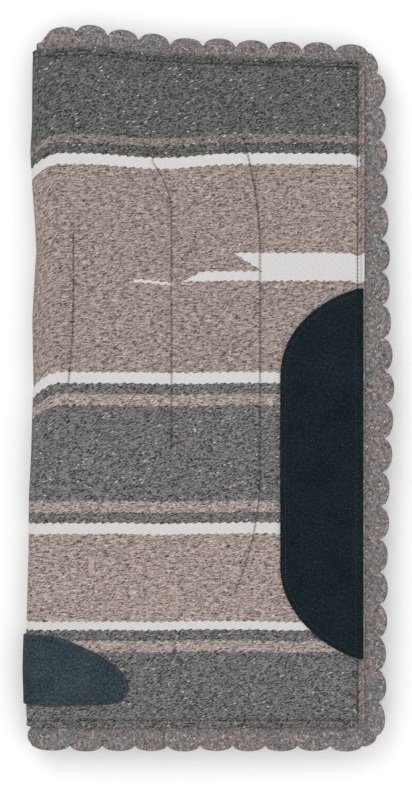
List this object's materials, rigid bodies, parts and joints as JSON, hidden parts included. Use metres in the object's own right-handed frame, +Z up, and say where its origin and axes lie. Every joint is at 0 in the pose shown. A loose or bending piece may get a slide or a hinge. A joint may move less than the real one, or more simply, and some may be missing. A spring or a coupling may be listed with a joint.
{
  "type": "folded western saddle pad",
  "caption": "Western saddle pad folded at its spine: striped wool blanket over a scallop-edged felt liner, with leather wear patches and quilting.",
  "frame": {"origin": "centre of the folded pad's footprint, on the surface it lies on", "axes": "+X from the spine fold to the free edge, +Y from the withers end to the rear, +Z up out of the near side"},
  "size_m": [0.4105, 0.8142, 0.0436],
  "materials": {
    "wool_blanket": "matte",
    "felt": "matte",
    "leather": "matte",
    "thread": "matte"
  },
  "bodies": {
    "off_side": {"blanket_off": "wool_blanket", "blanket_spine": "wool_blanket", "felt_liner_off": "felt", "felt_liner_spine": "felt", "side_leather_off": "leather", "wither_leather_off": "leather", "wither_leather_spine": "leather", "quilt_thread_1_off": "thread", "quilt_thread_2_off": "thread", "quilt_thread_3_off": "thread", "hem_thread_off": "thread", "hem_thread_spine_front": "thread", "hem_thread_spine_rear": "thread", "side_leather_thread_off": "thread", "wither_leather_thread_off": "thread", "wither_leather_thread_spine_front": "thread", "wither_leather_thread_spine_rear": "thread"},
    "near_side": {"blanket_near": "wool_blanket", "felt_liner_near": "felt", "side_leather_near": "leather", "wither_leather_near": "leather", "quilt_thread_1_near": "thread", "quilt_thread_2_near": "thread", "quilt_thread_3_near": "thread", "hem_thread_near": "thread", "side_leather_thread_near": "thread", "wither_leather_thread_near": "thread"}
  },
  "joints": [
    {"name": "spine_fold", "type": "hinge", "parent": "off_side", "child": "near_side", "pos_m": [-0.1836, 0, 0.0218], "axis": [0, -1, 0], "range_deg": [0, 179], "deforming": ["blanket_spine", "felt_liner_spine", "wither_leather_spine", "hem_thread_spine_front", "hem_thread_spine_rear", "wither_leather_thread_spine_front", "wither_leather_thread_spine_rear"]}
  ]
}
